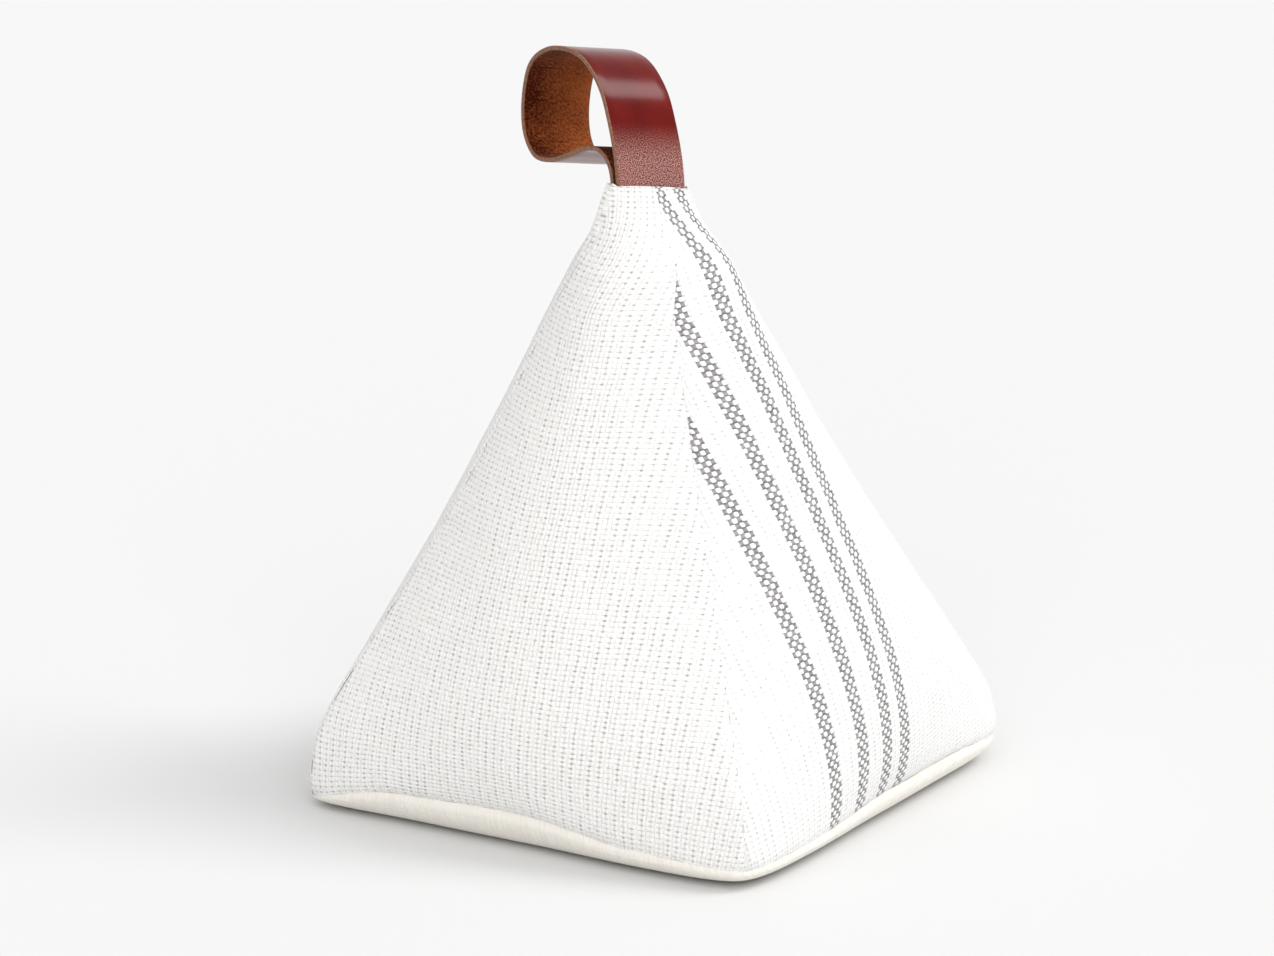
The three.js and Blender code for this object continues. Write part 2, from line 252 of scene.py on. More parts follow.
@dataclass(frozen=True)
class WovenCloth:
    """Slubby cotton in plain weave, its warp yarns drawn through the reed in pairs.

    The eye sees small soft pillows of yarn, and pits in every second gap between warps, darkened by painted
    shade.
    """

    name: str
    yarn: str
    # Darker colour painted on the low streaks, as shade
    shade: str
    # Colour of the shade painted into the pits
    shaded_pit: str
    warp_spacing: float = 1.45
    weft_spacing: float = 1.65
    relief: float = 0.32
    pit_depth: float = 0.85
    skew: float = 0.0
    drift_size: float = 12
    slub_width: float = 2.2
    slub_length: float = 16
    streak_width: float = 0.6
    streak_length: float = 3
    fibre_size: float = 0.6
    # Greys of the stripes: painted shade where a float dives under a weft, and the lighter middle of the
    # float
    stripe_yarn: str = "6E6C6D"
    stripe_lit_float: str = "A9A7A8"
    stripes: tuple[tuple[int, int], ...] = ()

    def build(self) -> Material:
        """Makes the material.

        Returns:
            The material, laid out by the mesh's flat cut.
        """
        material = new_material(self.name)
        add = partial(add_node, material.node_tree)
        cut = add("UVMap", uv_map="flat_cut")
        # Yarns wander by about a quarter of their spacing over 12 mm, as slubby cotton does
        drift_scale = 1 / (self.drift_size * MM)
        drift = add("TexNoise", {"Vector": cut, "Scale": drift_scale, "Detail": 4.0})
        reach = (self.weft_spacing * 0.9 * MM,) * 3
        inputs = {0: drift.outputs["Color"], 1: reach, 2: cut}
        laid = add("VectorMath", inputs, operation="MULTIPLY_ADD")
        split = add("SeparateXYZ", {0: laid})
        lane, rise = split.outputs["X"], split.outputs["Y"]
        # Sewing has pulled the wefts a little off square
        row = add("Math", {0: lane, 1: -self.skew, 2: rise}, operation="MULTIPLY_ADD")
        turn_x = math.pi / (self.warp_spacing * MM)
        turn_y = math.pi / (self.weft_spacing * MM)
        across = add("Math", {0: lane, 1: turn_x}, operation="MULTIPLY")
        along = add("Math", {0: row, 1: turn_y}, operation="MULTIPLY")
        wave_x = add("Math", {0: across}, operation="SINE")
        wave_y = add("Math", {0: along}, operation="SINE")
        reed = add("Math", {0: across}, operation="COSINE")
        # Above 0 where the weft lies on top, and highest in the middle of that pillow
        checker = add("Math", {0: wave_x, 1: wave_y}, operation="MULTIPLY")
        pillow = add("Math", {0: checker}, operation="ABSOLUTE")
        rounded = add("Math", {0: pillow, 1: 0.45}, operation="POWER")
        weft_lift = add("MapRange", {0: checker, 1: -0.1, 2: 0.1, 3: 0.75, 4: 1.0})
        height = add("Math", {0: rounded, 1: weft_lift}, operation="MULTIPLY")
        arch_y = add("Math", {0: wave_y}, operation="ABSOLUTE")
        gap_x = add("MapRange", {0: reed, 1: 0.35, 2: 0.95})
        gap_y = add("MapRange", {0: arch_y, 1: 0.75, 2: 0.1})
        corner = add("Math", {0: gap_x, 1: gap_y}, operation="MULTIPLY")
        # Warps are thick and thin for some centimetres at a time, which opens and shuts the pits
        stretch = (1 / (self.slub_width * MM), 1 / (self.slub_length * MM), 0.0)
        slub_place = add("VectorMath", {0: cut, 1: stretch}, operation="MULTIPLY")
        slub = add("TexNoise", {"Vector": slub_place, "Scale": 1.0, "Detail": 3.0})
        uneven = add("TexNoise", {"Vector": cut, "Scale": 1 / (2.4 * MM), "Detail": 2.0})
        chance = add("Math", {0: uneven, 1: slub}, operation="ADD")
        openness = add("MapRange", {0: chance, 1: 0.8, 2: 1.25, 3: 0.1, 4: self.pit_depth})
        shaded_pit = add("Math", {0: corner, 1: openness}, operation="MULTIPLY")
        # Loose fibres lie along the warps in short streaks that rise in the bump; the raised streaks are
        # painted lighter and the low ones darker, as painted highlight and shade
        thin = (1 / (self.streak_width * MM), 1 / (self.streak_length * MM), 0.0)
        streak_place = add("VectorMath", {0: cut, 1: thin}, operation="MULTIPLY")
        streak = add("TexNoise", {"Vector": streak_place, "Scale": 1.0, "Detail": 2.0})
        painted_streak_shade = add("MapRange", {0: streak, 1: 0.62, 2: 0.36, 3: 0.0, 4: 1.0})
        colours = {0: painted_streak_shade, 6: linear(self.yarn), 7: linear(self.shade)}
        yarn = add("Mix", colours, data_type="RGBA").outputs[2]
        if self.stripes:
            yarn = self._striped(add, lane, wave_x, wave_y, uneven, yarn)
        # Painted shade: the pits are coloured darker, as shade falls into them between the yarns
        colours = {0: shaded_pit, 6: yarn, 7: linear(self.shaded_pit)}
        colour = add("Mix", colours, data_type="RGBA").outputs[2]
        fibre_scale = 1 / (self.fibre_size * MM)
        fibre = add("TexNoise", {"Vector": cut, "Scale": fibre_scale, "Detail": 2.0})
        fuzzy = add("Math", {0: fibre, 1: 0.3, 2: height}, operation="MULTIPLY_ADD")
        fuzzy = add("Math", {0: streak, 1: 0.7, 2: fuzzy}, operation="MULTIPLY_ADD")
        sunk = add("Math", {0: shaded_pit, 1: -1.2, 2: fuzzy}, operation="MULTIPLY_ADD")
        bump = add("Bump", {"Height": sunk, "Distance": self.relief * MM, "Strength": 1.0})
        inputs = {
            "Base Color": colour,
            "Roughness": 0.92,
            "IOR": 1.45,
            "Specular IOR Level": 0.25,
            "Sheen Weight": 0.12,
            "Sheen Roughness": 0.5,
            "Normal": bump,
        }
        shader = add("BsdfPrincipled", inputs)
        add("OutputMaterial", {"Surface": shader})
        return material

    def _striped(
        self,
        add: Callable[..., Node],
        lane: NodeSocket,
        wave_x: Node,
        wave_y: Node,
        uneven: Node,
        yarn: NodeSocket,
    ) -> NodeSocket:
        """Dyes some warp yarns grey. White wefts cross them as wide ovals in a brick pattern.

        Args:
            add: Adds a node to the material.
            lane: Place across the panel.
            wave_x: Above 0 over every second warp.
            wave_y: Above 0 over every second weft.
            uneven: Fine unevenness, 0 to 1.
            yarn: Colour of the plain yarns.

        Returns:
            The colour with the stripes in it.
        """
        spacing = self.warp_spacing * MM
        total = None
        for first, count in self.stripes:
            middle = (first + count / 2) * spacing
            # The wefts press the outer warps in by about a sixth of their spacing
            inputs = {0: lane, 1: middle, 2: (count / 2 - 0.16) * spacing}
            band = add("Math", inputs, operation="COMPARE")
            if total is None:
                total = band
            else:
                total = add("Math", {0: total, 1: band}, operation="MAXIMUM")
        up_or_down = add("Math", {0: wave_y}, operation="SIGN")
        over = add("Math", {0: wave_x, 1: up_or_down, 2: 0.46}, operation="MULTIPLY_ADD")
        arch = add("Math", {0: wave_y}, operation="ABSOLUTE")
        tall = add("Math", {0: arch, 1: 0.8}, operation="POWER")
        oval = add("Math", {0: over, 1: tall}, operation="MULTIPLY")
        frayed = add("Math", {0: uneven, 1: 0.8, 2: oval}, operation="MULTIPLY_ADD")
        bare = add("MapRange", {0: frayed, 1: 0.5, 2: 0.9, 3: 1.0, 4: 0.0})
        dyed = add("Math", {0: total, 1: bare}, operation="MULTIPLY")
        # Painted shade: each grey float is coloured darkest where it dives under a weft and lighter over its
        # middle
        float_tone = add("Math", {0: arch, 1: 0.55, 2: uneven}, operation="MULTIPLY_ADD")
        painted_light = add("MapRange", {0: float_tone, 1: 0.55, 2: 1.2})
        colours = {0: painted_light, 6: linear(self.stripe_yarn), 7: linear(self.stripe_lit_float)}
        grey = add("Mix", colours, data_type="RGBA").outputs[2]
        return add("Mix", {0: dyed, 6: yarn, 7: grey}, data_type="RGBA").outputs[2]


@dataclass(frozen=True)
class GlazedLeather:
    """Bark tanned hide, dyed oxblood and glazed: deep glossy red-brown with fine grain in its shine."""

    name: str = "glazed_bridle_leather"
    deep: str = "5A0502"
    warm: str = "6E1008"
    # Pale colour of the specks painted as glints on the worn grain at the bend
    painted_light: str = "D9AFA4"
    grain_size: float = 0.9
    grain_relief: float = 0.05
    bend_starts: float = 23
    bend_ends: float = 37
    glinting_bend_wear: float = 0.8

    def build(self) -> Material:
        """Makes the material.

        Returns:
            The material.
        """
        material = new_material(self.name)
        add = partial(add_node, material.node_tree)
        cut = add("UVMap", uv_map="flat_cut")
        cloud = add("TexNoise", {"Vector": cut, "Scale": 1 / (14 * MM), "Detail": 5.0})
        tone = add("MapRange", {0: cloud, 1: 0.35, 2: 0.7})
        colours = {0: tone, 6: linear(self.deep), 7: linear(self.warm)}
        colour = add("Mix", colours, data_type="RGBA").outputs[2]
        # Hide grain is about 0.3 mm and is drawn near 1 mm, so that its sparkle shows from a step away
        inputs = {"Vector": cut, "Scale": 1 / (self.grain_size * MM)}
        cells = add("TexVoronoi", inputs, feature="SMOOTH_F1")
        crease = add("TexNoise", {"Vector": cut, "Scale": 1 / (3 * MM), "Detail": 4.0})
        relief = add("Math", {0: cells, 1: crease}, operation="ADD")
        inputs = {"Height": relief, "Distance": self.grain_relief * MM, "Strength": 1.0}
        bump = add("Bump", inputs)
        dull = add("MapRange", {0: crease, 1: 0.3, 2: 0.75, 3: 0.26, 4: 0.4})
        # The glaze is cracked open where the strap bends out of the cloth, and pale specks are painted on its
        # worn grain there as its glints: painted highlights
        length = add("SeparateXYZ", {0: cut})
        ends, starts = self.bend_ends * MM, self.bend_starts * MM
        inputs = {0: length.outputs["Y"], 1: ends, 2: starts, 3: 0.0, 4: self.glinting_bend_wear}
        bent = add("MapRange", inputs, interpolation_type="SMOOTHSTEP")
        speck = add("TexNoise", {"Vector": cut, "Scale": 1 / (0.36 * MM), "Detail": 3.0})
        glint_specks = add("MapRange", {0: speck, 1: 0.42, 2: 0.64})
        glint_on_cracks = add("Math", {0: bent, 1: glint_specks}, operation="MULTIPLY")
        colours = {0: glint_on_cracks, 6: colour, 7: linear(self.painted_light)}
        colour = add("Mix", colours, data_type="RGBA").outputs[2]
        inputs = {
            "Base Color": colour,
            "Roughness": dull,
            "IOR": 1.5,
            "Specular IOR Level": 0.0,
            "Coat Weight": 1.0,
            "Coat IOR": 1.28,
            "Coat Roughness": 0.2,
            "Normal": bump,
        }
        shader = add("BsdfPrincipled", inputs)
        add("OutputMaterial", {"Surface": shader})
        return material


@dataclass(frozen=True)
class SuedeLeather:
    """The hide's flesh side, left raw: a matt, mottled rust brown with short nap."""

    name: str = "raw_suede_flesh_side"
    deep: str = "401407"
    warm: str = "A2592F"
    # Where the painted light across the inside of the loop starts and ends
    lit_side_from: float = 28
    lit_side_to: float = 46

    def build(self) -> Material:
        """Makes the material.

        Returns:
            The material.
        """
        material = new_material(self.name)
        add = partial(add_node, material.node_tree)
        cut = add("UVMap", uv_map="flat_cut")
        nap = add("TexNoise", {"Vector": cut, "Scale": 1 / (0.9 * MM), "Detail": 6.0})
        cloud = add("TexNoise", {"Vector": cut, "Scale": 1 / (18 * MM), "Detail": 3.0})
        both = add("Math", {0: nap, 1: 1.4, 2: cloud}, operation="MULTIPLY_ADD")
        # Painted light: the nap is coloured paler towards the edge that the loop opens to, where light comes
        # in, and darker towards the other edge, in the loop's shade
        across = add("SeparateXYZ", {0: cut})
        inputs = {0: across.outputs["X"], 1: self.lit_side_from * MM, 2: self.lit_side_to * MM, 3: 0.28, 4: -0.28}
        painted_side_light = add("MapRange", inputs)
        both = add("Math", {0: both, 1: painted_side_light}, operation="ADD")
        tone = add("MapRange", {0: both, 1: 0.85, 2: 1.55})
        colours = {0: tone, 6: linear(self.deep), 7: linear(self.warm)}
        colour = add("Mix", colours, data_type="RGBA").outputs[2]
        bump = add("Bump", {"Height": nap, "Distance": 0.12 * MM, "Strength": 0.8})
        inputs = {
            "Base Color": colour,
            "Roughness": 0.95,
            "Specular IOR Level": 0.0,
            "Sheen Weight": 0.05,
            "Normal": bump,
        }
        shader = add("BsdfPrincipled", inputs)
        add("OutputMaterial", {"Surface": shader})
        return material


@dataclass(frozen=True)
class CutLeatherEdge:
    """The strap's cut edge, bevelled and waxed: a thin tan line where the dye didn't reach."""

    name: str = "waxed_leather_edge"
    deep: str = "43200F"
    warm: str = "A5775A"

    def build(self) -> Material:
        """Makes the material.

        Returns:
            The material.
        """
        material = new_material(self.name)
        add = partial(add_node, material.node_tree)
        cut = add("UVMap", uv_map="flat_cut")
        fibres = add("TexNoise", {"Vector": cut, "Scale": 1 / (1.2 * MM), "Detail": 4.0})
        colours = {0: fibres, 6: linear(self.deep), 7: linear(self.warm)}
        colour = add("Mix", colours, data_type="RGBA").outputs[2]
        bump = add("Bump", {"Height": fibres, "Distance": 0.1 * MM, "Strength": 0.6})
        inputs = {"Base Color": colour, "Roughness": 0.6, "IOR": 1.5, "Normal": bump}
        shader = add("BsdfPrincipled", inputs)
        add("OutputMaterial", {"Surface": shader})
        return material


@dataclass(frozen=True)
class StudioPaper:
    """Matt white background paper, lit until it looks like the plain backdrop behind it."""

    name: str = "matt_studio_paper"
    paper: str = "DBDBDB"

    def build(self) -> Material:
        """Makes the material.

        Returns:
            The material.
        """
        material = new_material(self.name)
        add = partial(add_node, material.node_tree)
        tooth = add("TexNoise", {"Scale": 1 / (2 * MM), "Detail": 2.0})
        bump = add("Bump", {"Height": tooth, "Distance": 0.02 * MM, "Strength": 0.3})
        inputs = {
            "Base Color": linear(self.paper),
            "Roughness": 1.0,
            "Specular IOR Level": 0.0,
            "Normal": bump,
        }
        shader = add("BsdfPrincipled", inputs)
        add("OutputMaterial", {"Surface": shader})
        return material


# The filled cloth body


@dataclass(frozen=True)
class BodyShape:
    """The surface of the filled pyramid as a function of panel places.

    It is the CAD model's, but the closed top is narrower and thinner, as the real cloth is once it is sewn.
    """

    base_side: float = 165
    height: float = 190
    corner_lift: float = 8
    middle_lift: float = 3
    corner_pull: float = 7
    corner_sharpness: float = 8
    pull_height: float = 0.12
    bow: tuple[float, ...] = (0, 2.4, -4, -4, -1, 0)
    swell: tuple[float, ...] = (1.5, 27, 18, 18, 15, 1.5)
    left_swell: tuple[float, ...] = (1.5, 27.7, 16, 16, 9, 1.5)
    roundness_low: float = 1.1
    roundness_high: float = 1.5
    lean: float = 3
    lean_direction: float = math.radians(211.6)
    strap_direction: float = math.radians(66)
    strap_roll: float = math.radians(8)
    top_half_width: float = 13.3
    top_half_thickness: float = 3.5
    top_flare: float = 0.45
    top_wedge: float = 0.25
    panel_top_half: float = 8.5
    closing_from: float = 0.86
    twist_from: float = 0.79
    flat_length: float = 205

    def oblong(self, place: np.ndarray) -> np.ndarray:
        """Draws the closed top's rounded oblong.

        Args:
            place: Places along it, from its middle at 0 to its ends at -1 and 1.

        Returns:
            Its half thickness at each place, 1 in the middle.
        """
        return np.maximum(0, 1 - place**4) ** 0.25

    def half_side(self, v: np.ndarray) -> np.ndarray:
        """Gives the half width of a panel as cut.

        Args:
            v: Shares of its height.

        Returns:
            One half width for each share.
        """
        return self.base_side / 2 * (1 - v) + self.panel_top_half * v

    def root(self) -> np.ndarray:
        """Finds the middle of the closed top edge.

        Returns:
            The point.
        """
        x, y = self.lean * math.cos(self.lean_direction), self.lean * math.sin(self.lean_direction)
        return np.array([x, y, self.height])

    def point(self, face: Face, u: np.ndarray, v: np.ndarray) -> np.ndarray:
        """Gives points of the cloth's outer surface.

        Args:
            face: The side panel.
            u: Places across the panel, -1 to 1.
            v: Shares of the height, 0 at the base seam and 1 at the top edge.

        Returns:
            Points in millimetres, on one more axis than u and v.
        """
        u, v = np.broadcast_arrays(np.asarray(u, float), np.asarray(v, float))
        roundness = self.roundness_low * (1 - v) + self.roundness_high * v
        side = self.half_side(v) + bezier(self.bow, v)
        swell = bezier(self.left_swell if face is Face.LEFT else self.swell, v)
        pull = self.corner_pull * np.maximum(0, 1 - v / self.pull_height) ** 2
        keep = 1 - pull / (side * math.sqrt(2)) * np.abs(u) ** self.corner_sharpness
        out = (side + swell * np.maximum(0, 1 - u * u) ** roundness) * keep
        along = side * u * keep
        turn = face.value * math.pi / 2
        turn = turn + (self.strap_direction - math.pi / 4) * smoothstep(v, self.twist_from, 1)
        open_x = out * np.cos(turn) - along * np.sin(turn)
        open_y = out * np.sin(turn) + along * np.cos(turn)
        place = (1 + (u if face.value % 2 == 0 else -u)) / 2
        below = self.height * (1 - v)
        shut_x = (1 if face.value < 2 else -1) * (self.top_half_width + self.top_flare * below) * place
        shut_y = self.top_half_thickness + self.top_wedge * below
        shut_y = (-1 if face.value % 3 == 0 else 1) * shut_y * self.oblong(place)
        dip = shut_x * math.tan(self.strap_roll)
        cos, sin = math.cos(self.strap_direction), math.sin(self.strap_direction)
        closed = smoothstep(v, self.closing_from, 1)
        lean = self.lean * v * v
        x = open_x * (1 - closed) + (shut_x * cos - shut_y * sin) * closed
        y = open_y * (1 - closed) + (shut_x * sin + shut_y * cos) * closed
        z = self.corner_lift + self.middle_lift * (1 - u * u) * (1 - v) ** 3
        z = z + (self.height - self.corner_lift) * v - dip * closed
        x = x + lean * math.cos(self.lean_direction)
        y = y + lean * math.sin(self.lean_direction)
        return np.stack([x, y, z], axis=-1)


@dataclass
class FillPressure:
    """Lets a coarse copy of the whole body settle under the filling's pressure, as a cloth simulation.

    The copy is a closed bag on the same places as the panels. Its top and its base seam are held.
    """

    shape: BodyShape = field(default_factory=BodyShape)
    across: int = 14
    up: int = 34
    frames: int = 20
    pressure: float = 4.0
    held_from: float = 0.84
    limit: float = 0.9

    def bag(self) -> Object:
        """Makes the closed bag, its two ends filled with fans.

        Returns:
            The bag, with its held points in a vertex group.
        """
        u = np.linspace(-1, 1, self.across + 1)[:-1][None, :]
        v = np.linspace(0, 1, self.up + 1)[:, None]
        rows = np.concatenate([self.shape.point(face, u, v) for face in Face], axis=1)
        around = rows.shape[1]
        index = np.arange((self.up + 1) * around).reshape(self.up + 1, around)
        low, high = index.size, index.size + 1
        closed = np.concatenate([index, index[:, :1]], axis=1)
        faces = quads(closed).tolist()
        faces += [[low, int(b), int(a)] for a, b in zip(closed[0], closed[0, 1:])]
        faces += [[high, int(a), int(b)] for a, b in zip(closed[-1], closed[-1, 1:])]
        points = np.concatenate([rows.reshape(-1, 3), [rows[0].mean(0), rows[-1].mean(0)]]) * MM
        mesh = bpy.data.meshes.new("settling_bag")
        mesh.from_pydata(points.tolist(), [], faces)
        mesh.update()
        bag = add_object("settling_bag", mesh)
        held = bag.vertex_groups.new(name="held")
        top = int(self.held_from * self.up)
        held.add([*index[0].tolist(), *index[top:].ravel().tolist(), low, high], 1.0, "REPLACE")
        return bag

    def settle(self) -> np.ndarray:
        """Runs the simulation and takes the bag away again.

        Returns:
            How far the cloth moved, by face, row and column in millimetres, no further than the limit.
        """
        moved = np.zeros((len(Face), self.up + 1, self.across + 1, 3))
        scene = bpy.context.scene
        bag = self.bag()
        start = np.array([vertex.co for vertex in bag.data.vertices])
        cloth = bag.modifiers.new("filling", "CLOTH")
        cloth.settings.quality = 6
        cloth.settings.use_pressure = True
        cloth.settings.uniform_pressure_force = self.pressure
        cloth.settings.vertex_group_mass = "held"
        cloth.settings.effector_weights.gravity = 0
        cloth.point_cache.frame_start = 1
        cloth.point_cache.frame_end = self.frames
        for number in range(1, self.frames + 1):
            scene.frame_set(number)
        settled = bag.evaluated_get(bpy.context.evaluated_depsgraph_get())
        shift = (np.array([vertex.co for vertex in settled.data.vertices]) - start) / MM
        scene.frame_set(1)
        mesh = bag.data
        bpy.data.objects.remove(bag)
        bpy.data.meshes.remove(mesh)
        size = np.linalg.norm(shift, axis=1, keepdims=True)
        log.info("filling pressure: the cloth moved up to %.2f mm", size.max())
        shift *= self.limit * np.tanh(size / self.limit) / np.maximum(size, 1e-9)
        rows = shift[:-2].reshape(self.up + 1, len(Face) * self.across, 3)
        rows = np.concatenate([rows, rows[:, :1]], axis=1)
        for face in Face:
            first = face.value * self.across
            moved[face.value] = rows[:, first : first + self.across + 1]
        return moved


@dataclass
class ClothBody:
    """The four side panels and the base cloth, sewn edge to edge round the filling."""

    shape: BodyShape = field(default_factory=BodyShape)
    across: int = 96
    up: int = 132
    columns_crowd: float = 0.55
    rows_crowd_up: float = 1.15
    top_share: float = 0.992
    seam_depth: float = 0.9
    seam_width: float = 1.3
    pucker_height: float = 0.28
    pucker_size: float = 6.5
    pucker_reach: float = 8
    lump_height: float = 0.9
    lump_size: float = 46
    small_lump_share: float = 0.35
    small_lump_size: float = 46 / 2.6
    lip_steps: int = 9
    lip_depth: float = 8
    lip_height: float = 1.5
    strap_half_width: float = 12.5
    strap_gap: float = 2.5
    edge_roll: float = 14
    wave_height: float = 0.16
    seam_wave: dict[Face, tuple[float, ...]] = field(
        default_factory=lambda: {
            Face.STRIPED: (-1.5, -1.8, 0.4, 1.2, 0),
            Face.BACK: (0, 1.4, -1.0, 0.9, -2),
            Face.LEFT: (-2, 1.2, 1.6, -0.6, -4.2),
            Face.FRONT: (-4.2, 1.3, 1.9, -1.8, -1.5),
        }
    )
    roll_steps: int = 14
    floor_steps: int = 16

    def inward(self, points: np.ndarray) -> np.ndarray:
        """Finds the level directions towards the body's axis.

        Args:
            points: Where they start.

        Returns:
            One unit direction for each point.
        """
        axis = self.shape.root()[:2]
        share = np.clip(points[..., 2:] / self.shape.height, 0, 1) ** 2
        way = axis * share - points[..., :2]
        way = way / np.maximum(np.linalg.norm(way, axis=-1, keepdims=True), 1e-6)
        return np.concatenate([way, np.zeros_like(way[..., :1])], axis=-1)

    def relief(self, points: np.ndarray, seam: np.ndarray, along: np.ndarray, top: np.ndarray) -> np.ndarray:
        """How far the cloth lies inside the smooth surface.

        Args:
            points: Points of the smooth surface.
            seam: Each point's distance from the nearest seam.
            along: Each point's place along that seam.
            top: 0 low down and 1 at the closed top, where the lumps end.

        Returns:
            Depths, one for each point.
        """
        groove = self.seam_depth * np.exp(-((seam / self.seam_width) ** 2))
        lump = wander(points, self.lump_size, seed=3.7)
        lump = lump + self.small_lump_share * wander(points, self.small_lump_size, seed=11.3)
        line = np.stack([along, along * 0.3, np.zeros_like(along)], -1)
        pucker = wander(line, self.pucker_size, seed=21.9)
        tight = np.exp(-seam / self.pucker_reach)
        calm = np.clip(seam / 4, 0, 1) * (1 - top)
        return groove + self.lump_height * lump * calm + self.pucker_height * pucker * tight

    def places_across(self) -> np.ndarray:
        """Spreads a panel's columns, closer together towards its seams.

        Returns:
            Places across the panel, -1 to 1.
        """
        even = np.linspace(-1, 1, self.across + 1)
        return even * (1 - self.columns_crowd) + np.sin(even * math.pi / 2) * self.columns_crowd

    def wave(self, face: Face, u: np.ndarray) -> np.ndarray:
        """How far the base seam wanders up or down from its even line.

        Args:
            face: The side panel over the seam.
            u: Places across it, -1 to 1.

        Returns:
            Heights, one for each place.
        """
        values = np.array(self.seam_wave[face])
        spot = (np.clip(u, -1, 1) + 1) / 2 * (len(values) - 1)
        low = np.minimum(spot.astype(int), len(values) - 2)
        share = smoothstep(spot - low, 0, 1)
        return values[low] * (1 - share) + values[low + 1] * share

    def side_points(self, face: Face, settled: np.ndarray) -> tuple[np.ndarray, np.ndarray]:
        """Places one side panel's points.

        Args:
            face: The side panel.
            settled: How far the filling's pressure moves the panel, by row and column.

        Returns:
            The points and their places on the flat cut, in rows from the base seam to inside the top.
        """
        shape = self.shape
        u = self.places_across()[None, :]
        v = (1 - (1 - np.linspace(0, 1, self.up + 1)) ** self.rows_crowd_up)[:, None] * self.top_share
        points = shape.point(face, u, v)
        points[..., 2] += self.wave(face, u) * np.maximum(0, 1 - v / self.wave_height) ** 2
        half = shape.half_side(v)
        flat = np.stack(np.broadcast_arrays(u * half, v * shape.flat_length), axis=-1)
        from_side = (1 - np.abs(u)) * half
        from_base = v * shape.flat_length + 0 * u
        seam = np.minimum(from_side, from_base)
        along = np.where(from_side < from_base, flat[..., 1] + 37 * np.sign(u), flat[..., 0] + 300)
        top = smoothstep(v, 0.8, 0.97) + 0 * u
        depth = self.relief(points, seam, along + 90 * face.value, top)
        depth = np.where(from_side < from_base, depth * (1 - smoothstep(v, 0.9, 0.985)), depth)
        points = points + self.inward(points) * depth[..., None]
        moved = sample(settled, v[:, 0] * (len(settled) - 1))
        moved = sample(moved.swapaxes(0, 1), (u[0] + 1) / 2 * (settled.shape[1] - 1)).swapaxes(0, 1)
        points = points + moved
        lip, lip_flat = self.lip_points(points[-1], flat[-1])
        return np.concatenate([points, lip]), np.concatenate([flat, lip_flat])

    def lip_points(self, edge: np.ndarray, flat: np.ndarray) -> tuple[np.ndarray, np.ndarray]:
        """Turns a panel's top edge over and down beside the strap.

        Args:
            edge: The panel's last row of points.
            flat: Their places on the flat cut.

        Returns:
            More rows of points and their places.
        """
        shape = self.shape
        width_way = np.array([math.cos(shape.strap_direction), math.sin(shape.strap_direction)])
        depth_way = np.array([-width_way[1], width_way[0]])
        offset = edge[:, :2] - shape.root()[:2]
        place = offset @ width_way
        start = offset @ depth_way
        side = np.sign(start[len(start) // 2])
        beside = 1 - smoothstep(np.abs(place), self.strap_half_width, self.strap_half_width + 1.3)
        inner = side * np.minimum(np.abs(start), 0.15 + (self.strap_gap - 0.15) * beside)
        middle, reach = (start + inner) / 2, (start - inner) / 2
        rise = np.minimum(np.abs(reach), self.lip_height)
        rows, places = [], []
        for step in range(1, self.lip_steps + 1):
            angle = math.pi * step / self.lip_steps
            level = edge[:, 2] + rise * math.sin(angle)
            spot = shape.root()[:2] + np.outer(place, width_way)
            spot = spot + np.outer(middle + reach * math.cos(angle), depth_way)
            rows.append(np.column_stack([spot, level]))
            places.append(flat + [0, step * 0.6])
        for step in range(1, 4):
            down = rows[self.lip_steps - 1].copy()
            down[:, 2] -= self.lip_depth * step / 3
            rows.append(down)
            places.append(flat + [0, self.lip_steps * 0.6 + self.lip_depth * step / 3])
        return np.array(rows), np.array(places)

    def base_points(self) -> tuple[np.ndarray, np.ndarray]:
        """Places the base cloth's points, in rings from its middle out to the base seam.

        Returns:
            The points and their places on the flat cut.
        """
        u = self.places_across()[:-1]
        seam = np.concatenate([self.shape.point(face, u, np.zeros_like(u)) for face in Face])
        seam[:, 2] += np.concatenate([self.wave(face, u) for face in Face])
        way = self.inward(seam)
        square = np.maximum(np.abs(seam[:, 0]), np.abs(seam[:, 1]))[:, None]
        inset = seam - np.concatenate([seam[:, :2] / square * self.edge_roll, 0 * square], axis=1)
        rings = []
        for step in range(1, self.floor_steps + 1):
            ring = inset * (step / self.floor_steps)
            ring[:, 2] = 0
            rings.append(ring)
        for step in range(1, self.roll_steps + 1):
            angle = math.pi / 2 * step / self.roll_steps
            ring = inset + (seam - inset) * math.sin(angle)
            ring[:, 2] = seam[:, 2] * (1 - math.cos(angle))
            rings.append(ring)
        points = np.array(rings)
        flat = points[..., :2].copy()
        distance = np.maximum(0, seam[None, :, 2] - points[..., 2])
        along = np.where(np.abs(seam[:, 0]) > np.abs(seam[:, 1]), seam[:, 1], seam[:, 0] + 300)
        along = np.broadcast_to(along, distance.shape)
        depth = self.relief(points, distance, along, np.ones_like(distance))
        share = np.clip(points[..., 2] / 5, 0, 1)
        return points + way[None] * (depth * share)[..., None], flat

    def build_sides(self, cloth: Material, striped: Material) -> None:
        """Makes the four side panels.

        Args:
            cloth: The plain cloth.
            striped: The cloth with woven stripes.
        """
        settled = FillPressure(self.shape).settle()
        for face in Face:
            word = face.name.lower()
            points, flat = self.side_points(face, settled[face.value])
            panel = grid_mesh(f"{word}_panel_cloth", points, flat)
            panel.data.materials.append(striped if face is Face.STRIPED else cloth)
            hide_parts(f"side_panel_{word}")
            if face is Face.STRIPED:
                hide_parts(*[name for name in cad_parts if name.startswith("stripe_band")])
            log.info("%s: %d points", panel.name, len(panel.data.vertices))

